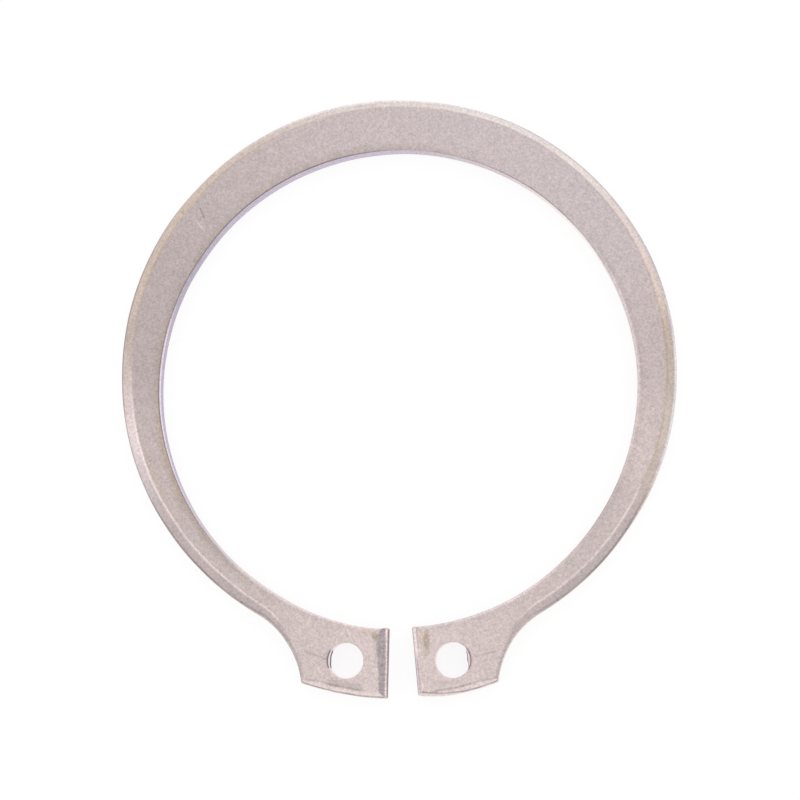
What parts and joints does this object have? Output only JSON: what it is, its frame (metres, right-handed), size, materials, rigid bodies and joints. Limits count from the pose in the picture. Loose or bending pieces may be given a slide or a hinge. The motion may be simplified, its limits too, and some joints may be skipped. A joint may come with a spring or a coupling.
{
  "type": "external retaining ring",
  "caption": "Flat stamped circlip for a shaft groove: a tapered open ring with plier lugs and a rolled outer edge.",
  "frame": {"origin": "on the shaft's axis, at the lower face of the ring", "axes": "+Z along the shaft's axis towards the face with the rolled outer edge, -Y towards the gap between the lugs, +X completes the right-handed frame"},
  "size_m": [0.0422, 0.0457, 0.0018],
  "materials": {
    "tumbled_steel": "tumbled stainless spring steel, satin, with fine random scratches and a faint warm stain along the rolled edge"
  },
  "bodies": {
    "root": {"retaining_ring": "tumbled_steel"}
  },
  "joints": []
}
